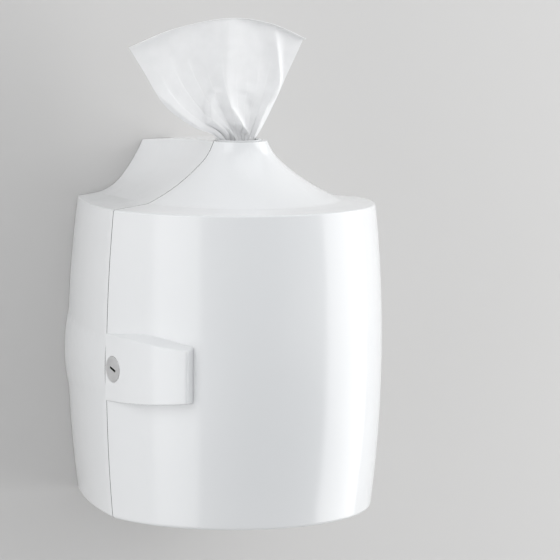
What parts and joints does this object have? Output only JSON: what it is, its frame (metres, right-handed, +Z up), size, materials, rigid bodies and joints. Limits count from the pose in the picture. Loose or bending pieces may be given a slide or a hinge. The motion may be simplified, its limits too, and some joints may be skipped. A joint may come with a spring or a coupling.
{
  "type": "wipes dispenser",
  "caption": "Wall-mounted centre-pull wipes dispenser: barrel-shaped white case in two shells with a flared neck, side grip pad with a key lock, and a drawn wipe standing out of the top.",
  "frame": {"origin": "centre of the four wall screws, on the back face of the case", "axes": "+X to the right seen from the front, +Y into the wall, +Z up"},
  "size_m": [0.2861, 0.276, 0.4529],
  "materials": {
    "case_white": "moulded, satin gloss",
    "inner_white": "moulded, matt",
    "lock_metal": "die-cast zinc, satin",
    "steel": "zinc-plated steel",
    "silicone": "matt silicone",
    "bag_film": "thin polyethylene film",
    "wipe_cloth": "thin nonwoven, damp"
  },
  "bodies": {
    "housing": {"rear_housing": "case_white", "lower_hinge_pin": "steel", "upper_hinge_pin": "steel", "strike_plate": "steel", "strike_screws": "steel", "nozzle_bracket": "inner_white", "bracket_screws": "steel", "nozzle_funnel": "inner_white", "funnel_screws": "steel", "slit_insert": "silicone", "insert_ring": "inner_white", "refill_tray": "inner_white", "tray_screws": "steel", "refill_bag": "bag_film", "wipes_roll": "wipe_cloth"},
    "cover": {"front_cover": "case_white", "lock_barrel": "lock_metal", "lock_nut": "lock_metal"},
    "lock": {"lock_plug": "lock_metal", "lock_cam": "steel", "cam_screw": "steel"},
    "wipe": {"wipe_strand": "wipe_cloth", "wipe_sheet": "wipe_cloth"}
  },
  "joints": [
    {"name": "cover_hinge", "type": "hinge", "parent": "housing", "child": "cover", "pos_m": [0.1416, -0.1435, 0], "axis": [0, 0, 1], "range_deg": [0, 120]},
    {"name": "lock_turn", "type": "hinge", "parent": "cover", "child": "lock", "pos_m": [-0.13, -0.1575, -0.0175], "axis": [-1, 0, 0], "range_deg": [0, 90]},
    {"name": "wipe_pull", "type": "slide", "parent": "housing", "child": "wipe", "axis": [0, 0, 1], "range_m": [0, 0.152]}
  ]
}
